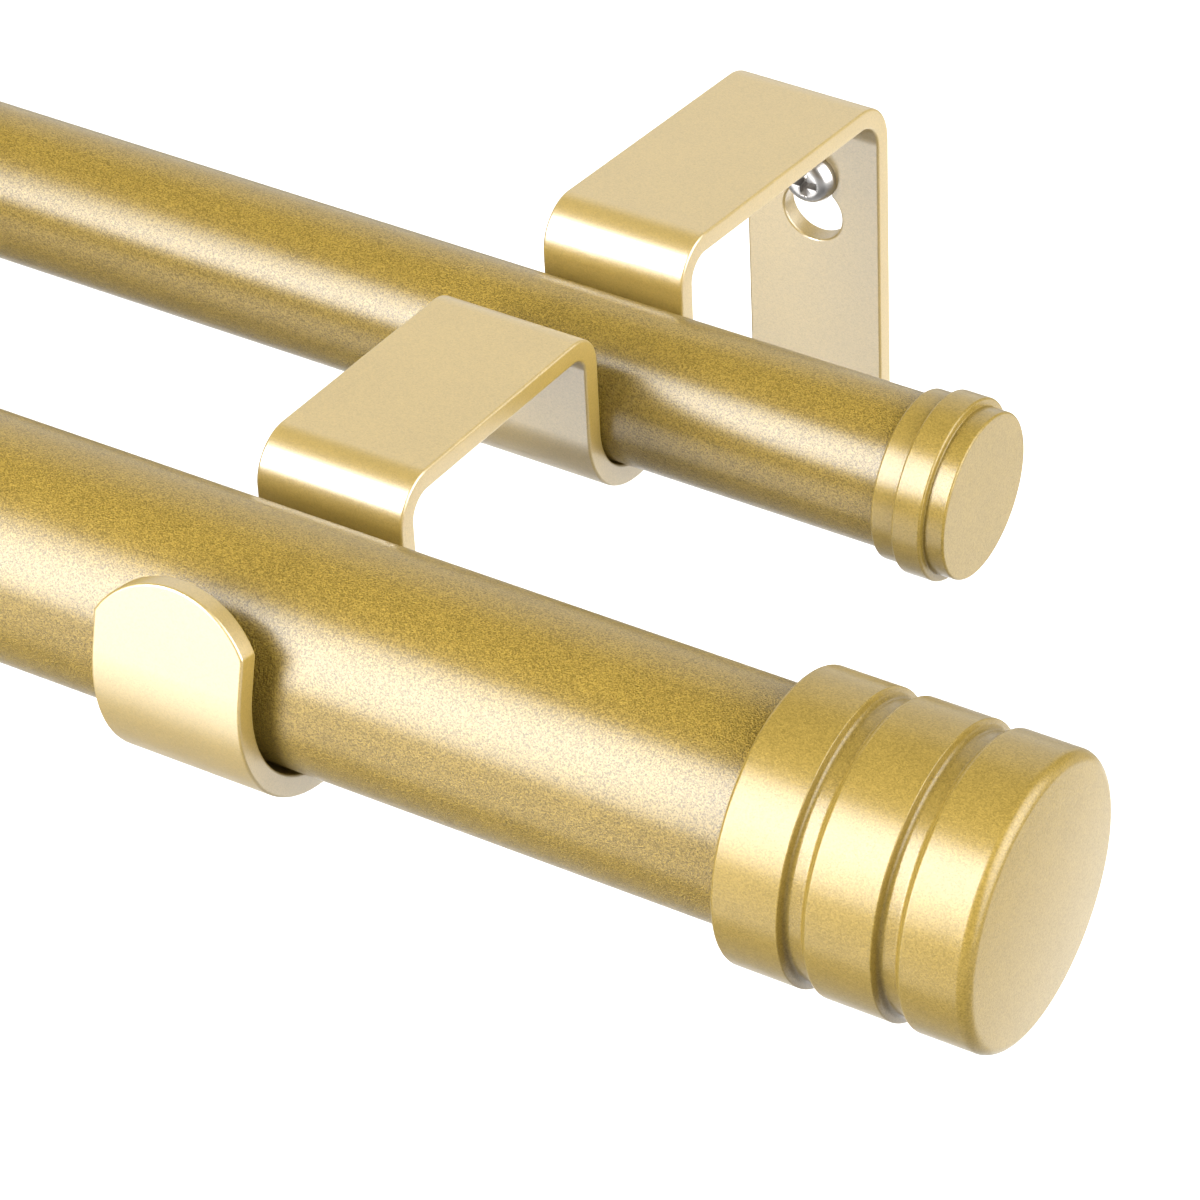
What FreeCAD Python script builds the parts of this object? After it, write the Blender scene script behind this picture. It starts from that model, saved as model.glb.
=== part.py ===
import FreeCAD, Part
import math
import os

V = FreeCAD.Vector

# The wall is the plane y = 0 and the room is on the minus y side. x runs along the
# poles and z is up. The origin is the middle of the four wall screws.

# poles
front_pole_diameter = 28.0
back_pole_diameter = 19.4
front_pole_wall = 1.2
back_pole_wall = 1.0
front_pole_from_wall = 133.0
back_pole_from_wall = 63.5

# brackets and how far the poles reach past them
bracket_spacing = 560.0
front_reach = 69.2
back_reach = 47.4

# strip that each bracket is bent from
strip_width = 20.0
strip_thickness = 2.8
wall_bend_radius = 5.2
arm_bend_radius = 2.8
wall_plate_end = 9.6
rear_arm_height = 31.8
rear_arm_fall = 9.4
front_arm_height = 42.6
front_arm_fall = 6.6

# cradles, measured at their middle height
front_cradle_height = 36.9
back_cradle_height = 26.8
front_cradle_room = 1.7
back_cradle_room = 0.3
seat_gap = 0.3
tab_lean = 14.8
tab_height = 15.1
tab_tip_radius = 11.4

# holes in the wall plate
head_hole_diameter = 8.6
head_hole_drop = 6.0
screw_spacing = 35.4
screw_hole_room = 0.85

# wall screws
screw_diameter = 3.9
screw_neck_diameter = 3.4
screw_length = 16.0
screw_head_diameter = 7.4
screw_head_height = 2.4

# turned front caps
front_cap_diameter = 34.6
front_band = 8.25
front_groove = 3.1
front_groove_depth = 1.2
front_grooves = 2
front_cap_crown = 0.9
front_cap_rim = 0.7
front_cap_socket = 8.0

# turned back caps
collar_diameter = 21.4
collar_length = 3.2
ring_diameter = 23.0
ring_length = 3.8
disc_diameter = 21.0
disc_length = 2.7
back_cap_socket = 5.4

# room between a cap and the pole that is pressed into it
socket_room = 0.15
pole_end_room = 0.2

# shortest run that counts as an edge
shortest_edge = 1e-6

front_radius = front_pole_diameter / 2
back_radius = back_pole_diameter / 2
front_cradle_radius = front_radius + front_cradle_room
back_cradle_radius = back_radius + back_cradle_room
front_pole_height = front_cradle_height - front_cradle_room + seat_gap
back_pole_height = back_cradle_height - back_cradle_room + seat_gap
front_cap_lip_x = bracket_spacing / 2 + front_reach
back_cap_lip_x = bracket_spacing / 2 + back_reach
upper_screw_z = screw_spacing / 2
lower_screw_z = -screw_spacing / 2


def plane_point(a, b):
    """point of a side view, a towards the wall and b up"""
    return V(0, a, b)


def turn_point(a, b):
    """point of a turning profile, a along the axis and b out from it"""
    return V(a, b, 0)


def round_corner(before, corner, after, radius):
    """first point, middle and last point of the arc that rounds a corner"""
    into = (corner - before).normalize()
    out = (after - corner).normalize()
    turn = into.getAngle(out)
    reach = radius * math.tan(turn / 2)
    inward = (out - into).normalize()
    centre = corner + inward * (radius / math.cos(turn / 2))
    return corner - into * reach, centre - inward * radius, corner + out * reach


def outline(corners, closed=True):
    """wire through corners (point, radius), each rounded by its own radius"""
    count = len(corners)
    edges = []
    first = None
    last = None
    for index in range(count):
        point, radius = corners[index]
        inner = closed or 0 < index < count - 1
        if radius > 0 and inner:
            before = corners[index - 1][0]
            after = corners[(index + 1) % count][0]
            start, middle, end = round_corner(before, point, after, radius)
        else:
            start, middle, end = point, None, point
        if last is None:
            first = start
        elif last.distanceToPoint(start) > shortest_edge:
            edges.append(Part.makeLine(last, start))
        if middle is not None:
            edges.append(Part.Arc(start, middle, end).toShape())
        last = end
    if closed and last.distanceToPoint(first) > shortest_edge:
        edges.append(Part.makeLine(last, first))
    return Part.Wire(edges)


def turned(corners):
    """solid of revolution about the x axis, from corners a along it and b out from it"""
    profile = [(turn_point(a, b), 0) for a, b in corners]
    return Part.Face(outline(profile)).revolve(V(0, 0, 0), V(1, 0, 0), 360)


def tube(radius, wall, length):
    outer = Part.makeCylinder(radius, length, V(-length / 2, 0, 0), V(1, 0, 0))
    bore = Part.makeCylinder(radius - wall, length, V(-length / 2, 0, 0), V(1, 0, 0))
    return outer.cut(bore)


def strip_middle():
    """corners of the line through the middle of the strip, from the plate to the tip"""
    half = strip_thickness / 2
    rear_slope = math.tan(math.radians(rear_arm_fall))
    front_slope = math.tan(math.radians(front_arm_fall))
    rear_line = rear_arm_height - half / math.cos(math.radians(rear_arm_fall))
    front_line = front_arm_height - half / math.cos(math.radians(front_arm_fall))
    back_bend = back_cradle_radius + half
    front_bend = front_cradle_radius + half
    plate_y = -half
    rear_leg_y = back_bend - back_pole_from_wall
    middle_leg_y = -back_bend - back_pole_from_wall
    front_leg_y = front_bend - front_pole_from_wall
    back_floor = back_cradle_height - back_bend
    front_floor = front_cradle_height - front_bend
    lean = math.radians(tab_lean)
    tangent_y = -front_pole_from_wall - front_bend * math.cos(lean)
    tangent_z = front_cradle_height + front_bend * math.sin(lean)
    foot_y = tangent_y - (tangent_z - front_floor) * math.tan(lean)
    tip_z = front_cradle_height + tab_height - half * math.sin(lean)
    tip_y = tangent_y + (tip_z - tangent_z) * math.tan(lean)
    wall_bend = wall_bend_radius + half
    arm_bend = arm_bend_radius + half
    return [
        (plane_point(plate_y, lower_screw_z - wall_plate_end), 0),
        (plane_point(plate_y, rear_line - plate_y * rear_slope), wall_bend),
        (plane_point(rear_leg_y, rear_line - rear_leg_y * rear_slope), arm_bend),
        (plane_point(rear_leg_y, back_floor), back_bend),
        (plane_point(middle_leg_y, back_floor), back_bend),
        (plane_point(middle_leg_y, front_line), arm_bend),
        (plane_point(front_leg_y, front_line + (middle_leg_y - front_leg_y) * front_slope), arm_bend),
        (plane_point(front_leg_y, front_floor), front_bend),
        (plane_point(foot_y, front_floor), front_bend),
        (plane_point(tip_y, tip_z), 0),
    ]


def side_of(direction):
    """the way up from a run of the strip that leads away from the wall"""
    return V(1, 0, 0).cross(direction)


def beside(corners, shift):
    """the same run of corners moved sideways by shift"""
    points = [point for point, radius in corners]
    runs = [(after - before).normalize() for before, after in zip(points, points[1:])]
    moved = [(points[0] + side_of(runs[0]) * shift, 0)]
    for index in range(1, len(corners) - 1):
        point, radius = corners[index]
        into = runs[index - 1]
        out = runs[index]
        side = (side_of(into) + side_of(out)).normalize()
        reach = shift / math.cos(into.getAngle(out) / 2)
        turns_up = into.cross(out).x > 0
        moved_radius = radius - shift if turns_up else radius + shift
        moved.append((point + side * reach, moved_radius))
    moved.append((points[-1] + side_of(runs[-1]) * shift, 0))
    return moved


def bent_strip():
    middle = strip_middle()
    upper = beside(middle, strip_thickness / 2)
    lower = beside(middle, -strip_thickness / 2)
    face = Part.Face(outline(upper + lower[::-1]))
    face.translate(V(-strip_width / 2, 0, 0))
    return face.extrude(V(strip_width, 0, 0))


def tip_waste():
    """what the round end takes off the two corners of the tab"""
    lean = math.radians(tab_lean)
    tip = strip_middle()[-1][0]
    along = V(0, math.sin(lean), math.cos(lean))
    across = V(0, -math.cos(lean), math.sin(lean))
    half_width = strip_width / 2
    drop = tab_tip_radius - math.sqrt(tab_tip_radius ** 2 - half_width ** 2)
    depth = 2 * strip_thickness
    corner = V(-strip_width, 0, 0) - along * drop - across * (depth / 2)
    sheet = Part.makePolygon([
        corner,
        corner + V(2 * strip_width, 0, 0),
        corner + V(2 * strip_width, 0, 0) + along * (2 * drop),
        corner + along * (2 * drop),
        corner,
    ])
    block = Part.Face(sheet).extrude(across * depth)
    disc = Part.makeCylinder(tab_tip_radius, depth, -along * tab_tip_radius - across * (depth / 2), across)
    waste = block.cut(disc)
    waste.translate(tip)
    return waste


def wall_hole(radius, height):
    depth = 3 * strip_thickness
    return Part.makeCylinder(radius, depth, V(0, -2 * strip_thickness, height), V(0, 1, 0))


def bracket():
    screw_hole = screw_diameter / 2 + screw_hole_room
    slot = Part.makeBox(
        2 * screw_hole, 3 * strip_thickness, head_hole_drop,
        V(-screw_hole, -2 * strip_thickness, upper_screw_z - head_hole_drop),
    )
    holes = [
        wall_hole(screw_hole, upper_screw_z),
        slot,
        wall_hole(head_hole_diameter / 2, upper_screw_z - head_hole_drop),
        wall_hole(screw_hole, lower_screw_z),
    ]
    return bent_strip().cut(tip_waste()).cut(holes[0].fuse(holes[1:])).removeSplitter()


def socket(depth, pole_radius):
    """inner corners of a cap, from the middle of its socket floor at x = 0 to its lip"""
    radius = pole_radius + socket_room
    return [(0, 0), (0, radius), (-depth, radius)]


def front_cap():
    """banded cap that opens towards minus x"""
    radius = front_cap_diameter / 2
    floor = radius - front_groove_depth
    start = -front_cap_socket
    corners = socket(front_cap_socket, front_radius) + [(start, radius)]
    for groove in range(front_grooves):
        near = start + front_band + groove * (front_band + front_groove)
        far = near + front_groove
        corners += [(near, radius), (near, floor), (far, floor), (far, radius)]
    shoulder = start + front_band + front_grooves * (front_band + front_groove)
    crown = shoulder + front_cap_crown
    corners += [
        (crown - front_cap_rim, radius),
        (crown, radius - front_cap_rim),
        (crown, 0),
    ]
    return turned(corners)


def back_cap():
    """stepped cap that opens towards minus x"""
    start = -back_cap_socket
    step = start + collar_length
    face = step + ring_length
    end = face + disc_length
    return turned(socket(back_cap_socket, back_radius) + [
        (start, collar_diameter / 2),
        (step, collar_diameter / 2),
        (step, ring_diameter / 2),
        (face, ring_diameter / 2),
        (face, disc_diameter / 2),
        (end, disc_diameter / 2),
        (end, 0),
    ])


def wall_screw():
    """screw that lies along y, its seat at the origin and its head on the minus y side"""
    thread = screw_diameter / 2
    neck = screw_neck_diameter / 2
    head = screw_head_diameter / 2
    screw = turned([
        (-screw_length, 0),
        (-screw_length, thread),
        (-strip_thickness, thread),
        (-strip_thickness, neck),
        (0, neck),
        (0, head),
        (screw_head_height, head),
        (screw_head_height, 0),
    ])
    screw.rotate(V(0, 0, 0), V(0, 0, 1), -90)
    return screw


def at(shape, x, y, z, turned_round=False):
    placed = shape.copy()
    if turned_round:
        placed.rotate(V(0, 0, 0), V(0, 0, 1), 180)
    placed.translate(V(x, y, z))
    return placed


def build():
    front = (-front_pole_from_wall, front_pole_height)
    back = (-back_pole_from_wall, back_pole_height)
    front_floor_x = front_cap_lip_x + front_cap_socket
    back_floor_x = back_cap_lip_x + back_cap_socket
    front_length = 2 * (front_floor_x - pole_end_room)
    back_length = 2 * (back_floor_x - pole_end_room)
    nodes = {
        "front_pole": at(tube(front_radius, front_pole_wall, front_length), 0, *front),
        "back_pole": at(tube(back_radius, back_pole_wall, back_length), 0, *back),
        "front_cap_right": at(front_cap(), front_floor_x, *front),
        "front_cap_left": at(front_cap(), -front_floor_x, *front, turned_round=True),
        "back_cap_right": at(back_cap(), back_floor_x, *back),
        "back_cap_left": at(back_cap(), -back_floor_x, *back, turned_round=True),
    }
    strip = bracket()
    screw = wall_screw()
    for side, name in ((1, "right"), (-1, "left")):
        x = side * bracket_spacing / 2
        nodes["bracket_" + name] = at(strip, x, 0, 0)
        nodes["upper_screw_" + name] = at(screw, x, -strip_thickness, upper_screw_z)
        nodes["lower_screw_" + name] = at(screw, x, -strip_thickness, lower_screw_z)
    return nodes


os.makedirs("parts", exist_ok=True)
for name, shape in build().items():
    shape.exportStep("parts/" + name + ".step")
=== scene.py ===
import math

import bmesh
import bpy
from mathutils import Matrix, Vector


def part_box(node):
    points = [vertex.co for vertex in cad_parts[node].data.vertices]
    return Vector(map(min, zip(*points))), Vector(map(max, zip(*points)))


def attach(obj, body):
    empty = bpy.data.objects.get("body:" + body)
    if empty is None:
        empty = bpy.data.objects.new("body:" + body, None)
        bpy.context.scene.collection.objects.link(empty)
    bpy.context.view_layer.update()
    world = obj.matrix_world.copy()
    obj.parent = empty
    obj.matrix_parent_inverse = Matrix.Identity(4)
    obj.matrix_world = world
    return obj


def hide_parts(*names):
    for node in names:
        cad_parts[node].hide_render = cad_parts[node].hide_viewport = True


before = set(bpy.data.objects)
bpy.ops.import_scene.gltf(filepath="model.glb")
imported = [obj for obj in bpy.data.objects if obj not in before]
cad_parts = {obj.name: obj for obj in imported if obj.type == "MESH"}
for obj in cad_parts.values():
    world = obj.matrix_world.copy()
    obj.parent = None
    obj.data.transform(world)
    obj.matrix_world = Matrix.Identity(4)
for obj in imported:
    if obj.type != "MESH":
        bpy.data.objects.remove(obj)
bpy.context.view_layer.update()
print("frame loaded")

mm = 0.001
weldGap = 1e-7  # metres
leastStep = 0.001  # millimetres, between the points of a profile
right = Vector((1, 0, 0))


# a shader value that can be added, subtracted, multiplied and divided
class Signal:
    def __init__(self, shade, socket):
        self.shade = shade
        self.socket = socket

    def maths(self, operation, first, second):
        return self.shade.node("ShaderNodeMath", {"operation": operation}, {0: first, 1: second})

    def __add__(self, other):
        return self.maths("ADD", self, other)

    def __radd__(self, other):
        return self.maths("ADD", other, self)

    def __sub__(self, other):
        return self.maths("SUBTRACT", self, other)

    def __rsub__(self, other):
        return self.maths("SUBTRACT", other, self)

    def __mul__(self, other):
        return self.maths("MULTIPLY", self, other)

    def __rmul__(self, other):
        return self.maths("MULTIPLY", other, self)

    def __truediv__(self, other):
        return self.maths("DIVIDE", self, other)

    def __rtruediv__(self, other):
        return self.maths("DIVIDE", other, self)

    def clamped(self):
        atLeast = self.maths("MAXIMUM", self, 0.0)
        return self.maths("MINIMUM", atLeast, 1.0)


class Shade:
    def __init__(self, name, **constants):
        self.material = bpy.data.materials.new(name)
        self.material.use_nodes = True
        self.tree = self.material.node_tree
        self.surface = self.tree.nodes["Principled BSDF"]
        for socket, value in constants.items():
            self.surface.inputs[socket.replace("_", " ")].default_value = value
        self.place = self.node("ShaderNodeTexCoord", output="Object")

    def node(self, kind, settings=None, inputs=None, output=0):
        made = self.tree.nodes.new(kind)
        for name, value in (settings or {}).items():
            setattr(made, name, value)
        for name, value in (inputs or {}).items():
            if isinstance(value, Signal):
                self.tree.links.new(value.socket, made.inputs[name])
            else:
                made.inputs[name].default_value = value
        return Signal(self, made.outputs[output])

    # size is about one blotch of the pattern, in metres
    def noise(self, size, detail=2.0, roughness=0.5, stretch=(1, 1, 1)):
        place = self.node("ShaderNodeMapping", None, {"Vector": self.place, "Scale": stretch})
        return self.node(
            "ShaderNodeTexNoise", None,
            {"Vector": place, "Scale": 1 / size, "Detail": detail, "Roughness": roughness},
        )

    # one random value in each cell, as metal flakes have
    def flakes(self, size):
        inputs = {"Vector": self.place, "Scale": 1 / size}
        cell = self.node("ShaderNodeTexVoronoi", None, inputs, "Color")
        return self.node("ShaderNodeSeparateColor", None, {0: cell})

    def mix(self, factor, first, second):
        # sockets 0, 6 and 7 are the factor and the two colours, output 2 the mixed one
        return self.node("ShaderNodeMix", {"data_type": "RGBA"}, {0: factor, 6: first, 7: second}, 2)

    def bump(self, height, distance, under=None):
        inputs = {"Height": height, "Distance": distance, "Strength": 1.0}
        if under:
            inputs["Normal"] = under
        return self.node("ShaderNodeBump", None, inputs)

    def feed(self, **signals):
        for socket, signal in signals.items():
            self.tree.links.new(signal.socket, self.surface.inputs[socket.replace("_", " ")])
        return self.material


def colour(red, green, blue):
    return (red, green, blue, 1)


# satin gold paint with metal flakes; each piece gives its own values
def goldPaint(name, look):
    shade = Shade(
        name,
        Metallic=look["metallic"],
        Coat_Roughness=look["coatRoughness"],
        Coat_IOR=look["coatIor"],
        Specular_IOR_Level=0.0,
    )
    grain = shade.noise(look["grainSize"] * mm, 1.0)
    sparkle = shade.flakes(look["flakeSize"] * mm)
    cloud = shade.noise(look["cloudSize"] * mm, 3.0)
    bright = sparkle * look["flakeShare"] + grain * look["grainShare"] + cloud * look["cloudShare"]
    bright = ((bright - 0.5) * look["contrast"] + 0.5).clamped()  # contrast round the middle
    base = shade.mix(bright, colour(*look["dark"]), colour(*look["light"]))
    rough = look["roughness"] - look["polish"] / 2 + look["polish"] * cloud
    peel = shade.noise(look["peelSize"] * mm)
    normal = shade.bump(peel, look["peelDepth"] * mm)
    normal = shade.bump(sparkle + grain, look["grainDepth"] * mm, normal)
    coat = look["coat"] - look["coatSpread"] / 2 + look["coatSpread"] * (grain + sparkle) / 2
    return shade.feed(Base_Color=base, Roughness=rough, Coat_Weight=coat.clamped(), Normal=normal)


# merged, turned outward, shaded and handed to the frame in place of its nodes
def finished(name, mesh, material, slot, *nodes, sharp=32):
    welded = bmesh.new()
    welded.from_mesh(mesh)
    bmesh.ops.remove_doubles(welded, verts=welded.verts, dist=weldGap)
    bmesh.ops.recalc_face_normals(welded, faces=welded.faces)
    welded.to_mesh(mesh)
    welded.free()
    mesh.shade_smooth()
    mesh.set_sharp_from_angle(angle=math.radians(sharp))
    mesh = modified(mesh, "WEIGHTED_NORMAL", keep_sharp=True, weight=50)
    mesh.name = name
    mesh.materials.clear()
    mesh.materials.append(material)
    piece = bpy.data.objects.new(name, mesh)
    bpy.context.scene.collection.objects.link(piece)
    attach(piece, "root")
    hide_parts(*nodes)


def toMesh(work, name):
    mesh = bpy.data.meshes.new(name)
    work.to_mesh(mesh)
    work.free()
    return mesh


# corners are (a, b, radius), and step is the arc's turn in degrees from point to point
def rounded(corners, step=9):
    points = []
    for index, (a, b, radius) in enumerate(corners):
        corner = Vector((a, b))
        if radius == 0 or index in (0, len(corners) - 1):
            points.append(corner)
            continue
        into = (corner - Vector(corners[index - 1][:2])).normalized()
        out = (Vector(corners[index + 1][:2]) - corner).normalized()
        turn = into.angle(out)
        start = corner - into * radius * math.tan(turn / 2)
        centre = corner + (out - into).normalized() * radius / math.cos(turn / 2)
        spoke = start - centre
        sign = 1 if into.x * out.y - into.y * out.x > 0 else -1
        pieces = max(2, math.ceil(math.degrees(turn) / step))
        for k in range(pieces + 1):
            angle = sign * turn * k / pieces
            points.append(centre + Matrix.Rotation(angle, 2) @ spoke)
    apart = [points[0]]
    for before, point in zip(points, points[1:]):
        if (point - before).length > leastStep:
            apart.append(point)
    return apart


# profile (a along x, b out from the axis), spun about the line through centre along x
def spun(name, profile, centre, sections, facing=1):
    work = bmesh.new()
    ring = [work.verts.new(centre + Vector((facing * a, 0, b))) for a, b in profile]
    edges = [work.edges.new(pair) for pair in zip(ring, ring[1:])]
    bmesh.ops.spin(
        work, geom=ring + edges, cent=centre, axis=right, angle=2 * math.pi,
        steps=sections, use_merge=True,
    )
    bmesh.ops.remove_doubles(work, verts=work.verts, dist=weldGap)
    return toMesh(work, name)


# the mesh with one modifier applied
def modified(mesh, kind, **settings):
    holder = bpy.data.objects.new("holder", mesh)
    bpy.context.scene.collection.objects.link(holder)
    modifier = holder.modifiers.new(kind.lower(), kind)
    for setting, value in settings.items():
        setattr(modifier, setting, value)
    evaluated = holder.evaluated_get(bpy.context.evaluated_depsgraph_get())
    result = bpy.data.meshes.new_from_object(evaluated)
    bpy.data.objects.remove(holder)
    return result


# an object for cut to subtract and then delete
def cutterPiece(mesh):
    cutter = bpy.data.objects.new(mesh.name, mesh)
    bpy.context.scene.collection.objects.link(cutter)
    return cutter


def cut(mesh, *cutters):
    for cutter in cutters:
        mesh = modified(mesh, "BOOLEAN", object=cutter, operation="DIFFERENCE", solver="EXACT")
    for cutter in cutters:
        bpy.data.objects.remove(cutter)
    return mesh


# small roundings along the edges that are sharper than angle
def edged(mesh, width, segments, angle):
    return modified(
        mesh, "BEVEL", affect="EDGES", width=width, segments=segments, profile=0.5, material=-1,
        limit_method="ANGLE", angle_limit=math.radians(angle), use_clamp_overlap=False,
    )


# the poles' tubes and their paint, in millimetres
pole = {
    "sections": 288, "frontWall": 1.2, "backWall": 1.0,
    "metallic": 0.2, "roughness": 0.5, "polish": 0.05,
    "coat": 0.95, "coatRoughness": 0.31, "coatIor": 1.5, "coatSpread": 0.35,
    "dark": (0.152, 0.1, 0.014), "light": (0.385, 0.259, 0.045),
    "grainSize": 0.2, "grainShare": 0.5, "flakeSize": 0.15, "flakeShare": 0.42, "contrast": 2.1,
    "cloudSize": 6.0, "cloudShare": 0.08, "peelSize": 1.6, "peelDepth": 0.004, "grainDepth": 0.45,
}
polePaint = goldPaint("polePaint", pole)


def poleMesh(node, wall):
    low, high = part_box(node)
    centre = (low + high) / 2
    radius = (high.z - low.z) / 2
    half = (high.x - low.x) / 2
    inner = radius - wall * mm
    profile = [(-half, inner), (-half, radius), (half, radius), (half, inner), (-half, inner)]
    return spun(node, profile, centre, pole["sections"])


finished("frontPole", poleMesh("front_pole", pole["frontWall"]), polePaint, "pole_paint", "front_pole")
finished("backPole", poleMesh("back_pole", pole["backWall"]), polePaint, "pole_paint", "back_pole")
print("poles made")

# the turning and the paint that all four caps share, in millimetres
cap = {
    "sections": 256,
    "metallic": 0.2, "roughness": 0.48, "polish": 0.04,
    "coat": 1.0, "coatRoughness": 0.29, "coatIor": 1.5, "coatSpread": 0.3,
    "dark": (0.17, 0.116, 0.02), "light": (0.315, 0.215, 0.045),
    "grainSize": 0.25, "grainShare": 0.4, "flakeSize": 0.17, "flakeShare": 0.4, "contrast": 1.4,
    "cloudSize": 6.0, "cloudShare": 0.2, "peelSize": 1.2, "peelDepth": 0.003, "grainDepth": 0.07,
}
capPaint = goldPaint("capPaint", cap)

# lengths from the cap's lip, radii from its axis
frontCap = {
    "radius": 17.3, "socketRadius": 14.15, "socketDepth": 8.0, "length": 31.85,
    "band": 8.25, "groove": 3.1, "depth": 1.2, "grooves": 2,
    "lip": 0.5, "nearLip": 0.16, "farLip": 0.55, "floor": 0.8, "nearSlope": 0.25, "farSlope": 0.35,
    "socketFloor": 0.2, "mouth": 0.15, "rim": 1.5, "dome": 0.75, "faceRings": 14,
}


def frontCapProfile():
    size = frontCap
    radius = size["radius"]
    floor = radius - size["depth"]
    corners = [
        (size["socketDepth"], 0, 0),
        (size["socketDepth"], size["socketRadius"], size["socketFloor"]),
        (0, size["socketRadius"], size["mouth"]),
        (0, radius, size["lip"]),
    ]
    for index in range(size["grooves"]):
        near = size["band"] + index * (size["band"] + size["groove"])
        far = near + size["groove"]
        corners += [
            (near, radius, size["nearLip"]),
            (near + size["nearSlope"], floor, size["floor"]),
            (far - size["farSlope"], floor, size["floor"]),
            (far, radius, size["farLip"]),
        ]
    end = size["length"]
    points = rounded(corners + [(end - size["dome"], radius, size["rim"]), (end, 0, 0)])
    # the face is part of a large ball, from the rim to the axis
    edge = points[-2]
    rise = end - edge.x
    ball = (edge.y ** 2 + rise ** 2) / (2 * rise)
    face = []
    for k in range(1, size["faceRings"] + 1):
        out = edge.y * (1 - k / size["faceRings"])
        face.append(Vector((end - ball + math.sqrt(ball ** 2 - out ** 2), out)))
    return [(point.x * mm, point.y * mm) for point in points[:-1] + face]


backCap = {
    "socketRadius": 9.85, "socketDepth": 5.4,
    "collarRadius": 10.7, "collarLength": 3.2, "ringRadius": 11.5, "ringLength": 3.8,
    "discRadius": 10.5, "discLength": 2.7, "edge": 0.3, "corner": 0.15, "step": 18,
}


def backCapProfile():
    size = backCap
    step = size["collarLength"]
    face = step + size["ringLength"]
    end = face + size["discLength"]
    corners = [
        (size["socketDepth"], 0, 0),
        (size["socketDepth"], size["socketRadius"], size["corner"]),
        (0, size["socketRadius"], size["corner"]),
        (0, size["collarRadius"], size["edge"]),
        (step, size["collarRadius"], size["corner"]),
        (step, size["ringRadius"], size["edge"]),
        (face, size["ringRadius"], size["edge"]),
        (face, size["discRadius"], size["corner"]),
        (end, size["discRadius"], size["edge"]),
        (end, 0, 0),
    ]
    return [(point.x * mm, point.y * mm) for point in rounded(corners, step=size["step"])]


def capPieces(name, node, profile):
    for side, facing in (("Right", 1), ("Left", -1)):
        low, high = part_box(node + "_" + side.lower())
        centre = (low + high) / 2
        centre.x = low.x if facing > 0 else high.x
        mesh = spun(name + side, profile, centre, cap["sections"], facing)
        finished(name + side, mesh, capPaint, "cap_paint", node + "_" + side.lower())


capPieces("frontCap", "front_cap", frontCapProfile())
capPieces("backCap", "back_cap", backCapProfile())
print("caps made")

# the brackets' flat strip and its paint, in millimetres
strip = {
    "width": 20.0, "thickness": 2.8, "edge": 0.35, "edgeSteps": 3, "edgeAngle": 40,
    # its middle line as (y, z, bend radius), from the wall plate to the tab's tip
    "line": [
        (-1.4, -27.3, 0), (-1.4, 30.613, 6.6), (-52.1, 39.006, 4.2), (-52.1, 15.4, 11.4),
        (-74.9, 15.4, 11.4), (-74.9, 41.191, 4.2), (-115.9, 45.935, 4.2),
        (-115.9, 19.8, 17.1), (-155.205, 19.8, 17.1), (-146.792, 51.642, 0),
    ],
    "bendStep": 4, "tipRadius": 11.4, "tipSteps": 40, "tipOver": 1.02, "tabLean": 14.8, "margin": 8,
    "holeSides": 48, "keyholeSides": 96,
    "keyholeRadius": 4.3, "keyholeDrop": 6.0, "slotRadius": 2.8, "screwSpacing": 35.4,
    "metallic": 0.2, "roughness": 0.45, "polish": 0.05,
    "coat": 1.0, "coatRoughness": 0.35, "coatIor": 2.75, "coatSpread": 0.16,
    "dark": (0.252, 0.171, 0.033), "light": (0.409, 0.278, 0.057),
    "grainSize": 0.22, "grainShare": 0.4, "flakeSize": 0.16, "flakeShare": 0.4, "contrast": 1.3,
    "cloudSize": 7.0, "cloudShare": 0.2, "peelSize": 0.55, "peelDepth": 0.05, "grainDepth": 0.03,
}
stripPaint = goldPaint("stripPaint", strip)


def cylinder(name, radius, start, end, segments):
    work = bmesh.new()
    run = end - start
    turn = run.to_track_quat("Z", "Y").to_matrix().to_4x4()
    bmesh.ops.create_cone(
        work, cap_ends=True, segments=segments, radius1=radius, radius2=radius, depth=run.length,
        matrix=Matrix.Translation((start + end) / 2) @ turn,
    )
    return cutterPiece(toMesh(work, name))


def block(name, low, high):
    work = bmesh.new()
    size = high - low
    shape = Matrix.Translation((low + high) / 2) @ Matrix.Diagonal((*size, 1))
    bmesh.ops.create_cube(work, size=1, matrix=shape)
    return cutterPiece(toMesh(work, name))


# the middle line thickened to both sides, then drawn out to the strip's width
def stripMesh(name, x):
    half = strip["thickness"] / 2
    line = rounded(strip["line"], step=strip["bendStep"])
    upper = []
    lower = []
    for index, point in enumerate(line):
        into = point - line[max(index - 1, 0)]
        out = line[min(index + 1, len(line) - 1)] - point
        into = (into if into.length else out).normalized()
        out = (out if out.length else into).normalized()
        way = (into + out).normalized()
        side = Vector((-way.y, way.x)) * half / math.cos(into.angle(out) / 2)
        upper.append(point + side)
        lower.append(point - side)
    work = bmesh.new()
    edge = x - strip["width"] * mm / 2
    sides = []
    for row in (upper, lower):
        verts = [work.verts.new((edge, point.x * mm, point.y * mm)) for point in row]
        sides += [work.edges.new(pair) for pair in zip(verts, verts[1:])]
    faces = bmesh.ops.bridge_loops(work, edges=sides)["faces"]
    grown = bmesh.ops.extrude_face_region(work, geom=faces)["geom"]
    moved = [item for item in grown if isinstance(item, bmesh.types.BMVert)]
    bmesh.ops.translate(work, verts=moved, vec=(strip["width"] * mm, 0, 0))
    bmesh.ops.recalc_face_normals(work, faces=work.faces)
    return toMesh(work, name)


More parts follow.
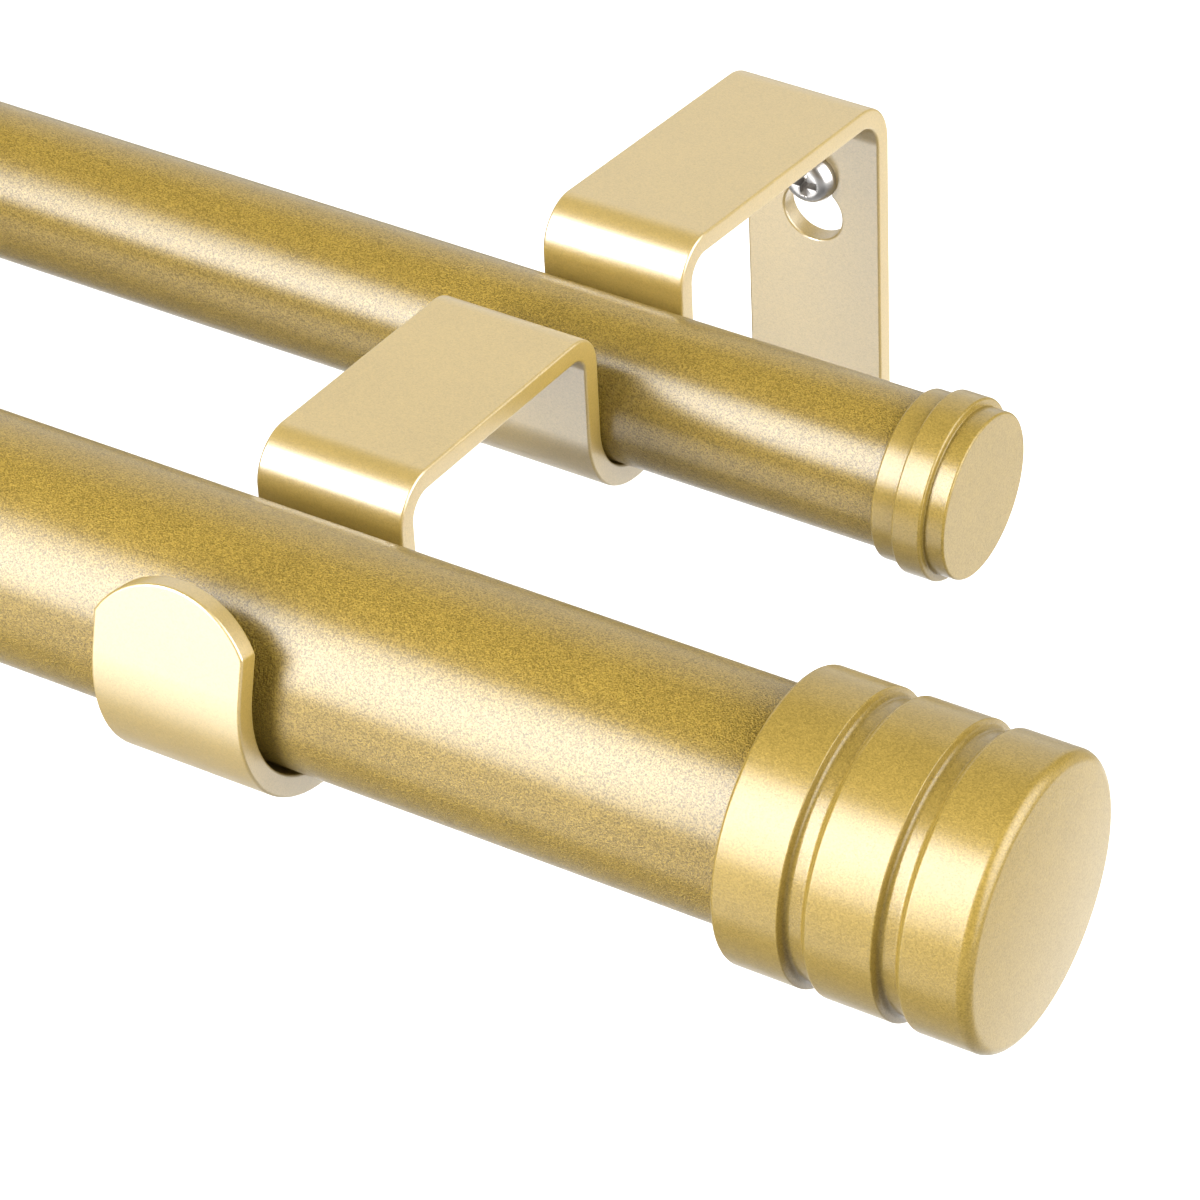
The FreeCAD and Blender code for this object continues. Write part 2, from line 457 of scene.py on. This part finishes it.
# what the round tip leaves outside its arc
def tipWaste(x):
    lean = math.radians(strip["tabLean"])
    tip = Vector((0, *strip["line"][-1][:2]))
    along = Vector((0, math.sin(lean), math.cos(lean)))
    across = Vector((0, -math.cos(lean), math.sin(lean)))
    radius = strip["tipRadius"]
    sweep = strip["tipOver"] * math.asin(strip["width"] / 2 / radius)  # just past the strip's sides
    steps = strip["tipSteps"]
    margin = strip["margin"]
    arc = []
    for k in range(steps + 1):
        angle = sweep * (2 * k / steps - 1)
        rise = along * (radius * math.cos(angle) - radius)
        arc.append(tip + rise + right * radius * math.sin(angle))
    work = bmesh.new()
    outer = [point + along * margin for point in (arc[-1], arc[0])]
    loop = [work.verts.new((point - across * margin / 2) * mm + right * x) for point in arc + outer]
    face = work.faces.new(loop)
    grown = bmesh.ops.extrude_face_region(work, geom=[face])["geom"]
    moved = [item for item in grown if isinstance(item, bmesh.types.BMVert)]
    bmesh.ops.translate(work, verts=moved, vec=across * margin * mm)
    bmesh.ops.recalc_face_normals(work, faces=work.faces)
    return cutterPiece(toMesh(work, "tipWaste"))


def keyhole(x):
    upper = strip["screwSpacing"] / 2
    front = -2 * strip["thickness"]
    back = strip["thickness"]

    def hole(name, radius, z, segments):
        start = Vector((x, front * mm, z * mm))
        return cylinder(name, radius * mm, start, start + Vector((0, (back - front) * mm, 0)), segments)

    half = strip["slotRadius"] * mm
    dropped = upper - strip["keyholeDrop"]
    return [
        hole("screwHole", strip["slotRadius"], upper, strip["holeSides"]),
        block(
            "slot", Vector((x - half, front * mm, dropped * mm)),
            Vector((x + half, back * mm, upper * mm)),
        ),
        hole("headHole", strip["keyholeRadius"], dropped, strip["keyholeSides"]),
        hole("lowerHole", strip["slotRadius"], -upper, strip["holeSides"]),
    ]


def bracketPiece(side, x):
    mesh = cut(stripMesh("bracket" + side, x), tipWaste(x), *keyhole(x))
    mesh = edged(mesh, strip["edge"] * mm, strip["edgeSteps"], strip["edgeAngle"])
    finished("bracket" + side, mesh, stripPaint, "strip_paint", "bracket_" + side.lower())


for side in ("Right", "Left"):
    low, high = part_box("bracket_" + side.lower())
    bracketPiece(side, (low.x + high.x) / 2)
print("brackets made")

# the wall screws and their steel, in millimetres
screw = {
    "sections": 96, "headRadius": 3.7, "headHeight": 2.4, "headEdge": 0.7, "crown": 2.9,
    "seatRound": 0.15, "headRound": 0.6, "crownRound": 1.5, "pointRound": 2.0,
    "shoulder": 1.0, "coreRound": 0.4, "neckRound": 0.3, "shankRound": 0.2, "step": 12,
    "coreRadius": 1.3, "threadRadius": 1.95, "neck": 3.2, "length": 16.0, "point": 4.5,
    "pitch": 1.7, "ridge": 0.55, "ridgeTop": (0.5, 0.62), "ridgeFoot": 1.3, "turnSteps": 24,
    "threadStart": 0.4, "neckFade": 0.6, "fadeRun": 2.0, "pointFade": 0.05,
    "crossSpan": 4.2, "crossWidth": 1.05, "crossDepth": 1.7, "crossOver": 0.3,
    "taper": 0.45, "sideTaper": 0.7,
    "edge": 0.06, "edgeSteps": 2, "edgeAngle": 38, "neckStep": 0.25, "coreStep": 0.15,
    "colour": (0.6, 0.58, 0.56), "dull": 0.86, "roughness": 0.26, "hazeRoughness": 0.1,
    "streakSize": 1 / 2.6, "streakStretch": 0.2, "hazeSize": 2.0, "scratch": 0.0015,
}


def screwSteel():
    shade = Shade("screwSteel", Metallic=1.0, Specular_IOR_Level=0.5)
    streak = shade.noise(screw["streakSize"] * mm, 2.0, 0.6, (1, screw["streakStretch"], 1))
    haze = shade.noise(screw["hazeSize"] * mm)
    dull = colour(*(value * screw["dull"] for value in screw["colour"]))
    tone = shade.mix(haze.clamped(), dull, colour(*screw["colour"]))
    rough = screw["roughness"] + screw["hazeRoughness"] * haze
    normal = shade.bump(streak, screw["scratch"] * mm)
    return shade.feed(Base_Color=tone, Roughness=rough, Normal=normal)


steel = screwSteel()


# lies along y at the origin, its seat at y = 0 and its head on the minus y side
def screwMesh():
    head = screw["headRadius"]
    tall = screw["headHeight"]
    shank = screw["threadRadius"] - screw["neckStep"]
    profile = rounded([
        (screw["length"], 0, 0),
        (screw["length"] - screw["point"], screw["coreRadius"], screw["pointRound"]),
        (screw["neck"] + screw["shoulder"], screw["coreRadius"], screw["coreRound"]),
        (screw["neck"], shank, screw["neckRound"]),
        (0, shank, screw["shankRound"]),
        (0, head, screw["seatRound"]),
        (-screw["headEdge"], head, screw["headRound"]),
        (-tall, screw["crown"], screw["crownRound"]),
        (-tall, 0, 0),
    ], step=screw["step"])
    work = bmesh.new()
    ring = [work.verts.new((0, p.x * mm, p.y * mm)) for p in profile]
    edges = [work.edges.new(pair) for pair in zip(ring, ring[1:])]
    bmesh.ops.spin(
        work, geom=ring + edges, cent=(0, 0, 0), axis=(0, 1, 0), angle=2 * math.pi,
        steps=screw["sections"], use_merge=True,
    )
    bmesh.ops.remove_doubles(work, verts=work.verts, dist=weldGap)
    bmesh.ops.recalc_face_normals(work, faces=work.faces)
    return toMesh(work, "screw")


# one arm of the cross recess, narrower towards its floor
def recessSlot(halfX, halfZ):
    top = -(screw["headHeight"] + screw["crossOver"]) * mm
    floor = (screw["crossDepth"] - screw["headHeight"]) * mm
    narrowX = screw["taper"] if halfX > halfZ else screw["sideTaper"]
    narrowZ = screw["taper"] if halfZ > halfX else screw["sideTaper"]
    work = bmesh.new()
    bmesh.ops.create_cube(work, size=2)
    for vert in work.verts:
        vert.co.x *= halfX
        vert.co.z *= halfZ
        if vert.co.y > 0:
            vert.co.x *= narrowX
            vert.co.z *= narrowZ
        vert.co.y = floor if vert.co.y > 0 else top
    return cutterPiece(toMesh(work, "recess"))


def threadMesh():
    work = bmesh.new()
    core = screw["coreRadius"] - screw["coreStep"]
    crest = screw["threadRadius"]
    start = screw["neck"] + screw["threadStart"]
    ridge = screw["ridge"]
    near, far = screw["ridgeTop"]
    section = [
        (start, core), (start + ridge * near, crest),
        (start + ridge * far, crest), (start + ridge * screw["ridgeFoot"], core),
    ]
    verts = [work.verts.new((0, a * mm, b * mm)) for a, b in section]
    edges = [work.edges.new(pair) for pair in zip(verts, verts[1:] + verts[:1])]
    turns = (screw["length"] - start - ridge * 2) / screw["pitch"]
    steps = int(turns * screw["turnSteps"])
    bmesh.ops.spin(
        work, geom=verts + edges, cent=(0, 0, 0), axis=(0, 1, 0),
        angle=steps * 2 * math.pi / screw["turnSteps"],
        dvec=(0, screw["pitch"] * mm / screw["turnSteps"], 0), steps=steps,
    )
    bmesh.ops.holes_fill(work, edges=[edge for edge in work.edges if edge.is_boundary], sides=0)
    # the ridge runs out towards the point and the neck
    for vert in work.verts:
        y = vert.co.y / mm
        toPoint = max(screw["pointFade"], (screw["length"] - y) / screw["point"])
        toNeck = max(screw["neckFade"], (y - start + screw["neckFade"]) / screw["fadeRun"])
        fade = min(1, toPoint, toNeck)
        vert.co.x *= fade
        vert.co.z *= fade
    bmesh.ops.recalc_face_normals(work, faces=work.faces)
    return toMesh(work, "thread")


def joined(name, meshes, place):
    work = bmesh.new()
    for mesh in meshes:
        work.from_mesh(mesh)
    bmesh.ops.translate(work, verts=work.verts, vec=place)
    return toMesh(work, name)


span = screw["crossSpan"] / 2 * mm
thin = screw["crossWidth"] / 2 * mm
headMesh = cut(screwMesh(), recessSlot(span, thin), recessSlot(thin, span))
headMesh = edged(headMesh, screw["edge"] * mm, screw["edgeSteps"], screw["edgeAngle"])
thread = threadMesh()
for side in ("right", "left"):
    for level in ("upper", "lower"):
        node = level + "_screw_" + side
        low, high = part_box(node)
        seat = Vector(((low.x + high.x) / 2, -strip["thickness"] * mm, (low.z + high.z) / 2))
        name = level + "Screw" + side.capitalize()
        finished(name, joined(name, (headMesh, thread), seat), steel, "screw_steel", node, sharp=30)
print("screws made")

# floor and lights, in metres and watts
stage = {
    "floorZ": -2.4, "floorSize": 60.0, "floorColour": (0.85, 0.85, 0.85),
    "floorRoughness": 0.9, "sky": 0.15,
    # name, place, target, width, height, watts, spread
    "lights": [
        ("frontLight", (-0.25, -1.05, 0.64), (0.27, -0.1, 0.035), 0.6, 1.4, 26.5, 130),
        ("lowLight", (-0.24, -1.104, -0.48), (0.28, -0.1, 0.035), 0.34, 0.95, 1.4, 120),
        ("floorLight", (0.1, 2.5, -1.7), (0.1, 2.5, -2.4), 5.0, 2.8, 105, 180),
        ("backLight", (-0.5, 1.25, 0.45), (0.27, -0.1, 0.035), 2.0, 1.5, 9.5, 180),
        ("sideLight", (1.55, 0.05, 0.62), (0.3, -0.1, 0.03), 2.0, 2.0, 36, 110),
    ],
    # soft pads that light the floor away from the part: name, x, y, width, depth
    "pads": [
        ("farFloor", 0, 15, 44, 20),
        ("nearFloor", 0, -15.5, 44, 24),
        ("leftFloor", -13, 1, 18, 9),
        ("rightFloor", 13, 1, 18, 9),
    ],
    "padZ": -1.7, "padPower": 1.9,
}


def floorPiece():
    work = bmesh.new()
    bmesh.ops.create_grid(work, x_segments=2, y_segments=2, size=stage["floorSize"] / 2)
    bmesh.ops.translate(work, verts=work.verts, vec=(0, 0, stage["floorZ"]))
    mesh = toMesh(work, "floor")
    shade = Shade(
        "floorPaint", Roughness=stage["floorRoughness"], Base_Color=colour(*stage["floorColour"]),
    )
    mesh.materials.append(shade.material)
    floor = bpy.data.objects.new("floor", mesh)
    bpy.context.scene.collection.objects.link(floor)


def softLight(name, place, target, width, height, power, spread):
    lamp = bpy.data.lights.new(name, "AREA")
    lamp.shape = "RECTANGLE"
    lamp.size = width
    lamp.size_y = height
    lamp.energy = power
    lamp.spread = math.radians(spread)
    holder = bpy.data.objects.new(name, lamp)
    holder.location = place
    aim = Vector(target) - Vector(place)
    holder.rotation_euler = aim.to_track_quat("-Z", "Y").to_euler()
    holder.visible_camera = False
    bpy.context.scene.collection.objects.link(holder)


floorPiece()
for light in stage["lights"]:
    softLight(*light)
for name, x, y, width, depth in stage["pads"]:
    power = stage["padPower"] * width * depth
    softLight(name, (x, y, stage["padZ"]), (x, y, stage["floorZ"]), width, depth, power, 180)

world = bpy.data.worlds.new("studio")
bpy.context.scene.world = world
world.use_nodes = True
sky = world.node_tree.nodes["Background"]
sky.inputs["Color"].default_value = colour(1, 1, 1)
sky.inputs["Strength"].default_value = stage["sky"]
bpy.context.scene.view_settings.view_transform = "Standard"
print("stage lit")

# the photograph's viewing angle: place in metres, turn in degrees
view = {
    "lens": 165.0, "sensor": 36.0,
    "place": (0.57455, -0.52220, 0.43200), "turn": (50.87, 2.33, 30.62),
}
lens = bpy.data.cameras.new("camera")
lens.lens = view["lens"]
lens.sensor_width = view["sensor"]
camera = bpy.data.objects.new("camera", lens)
camera.location = view["place"]
camera.rotation_euler = [math.radians(angle) for angle in view["turn"]]
bpy.context.scene.collection.objects.link(camera)
bpy.context.scene.camera = camera
print("camera set")

bpy.context.view_layer.update()
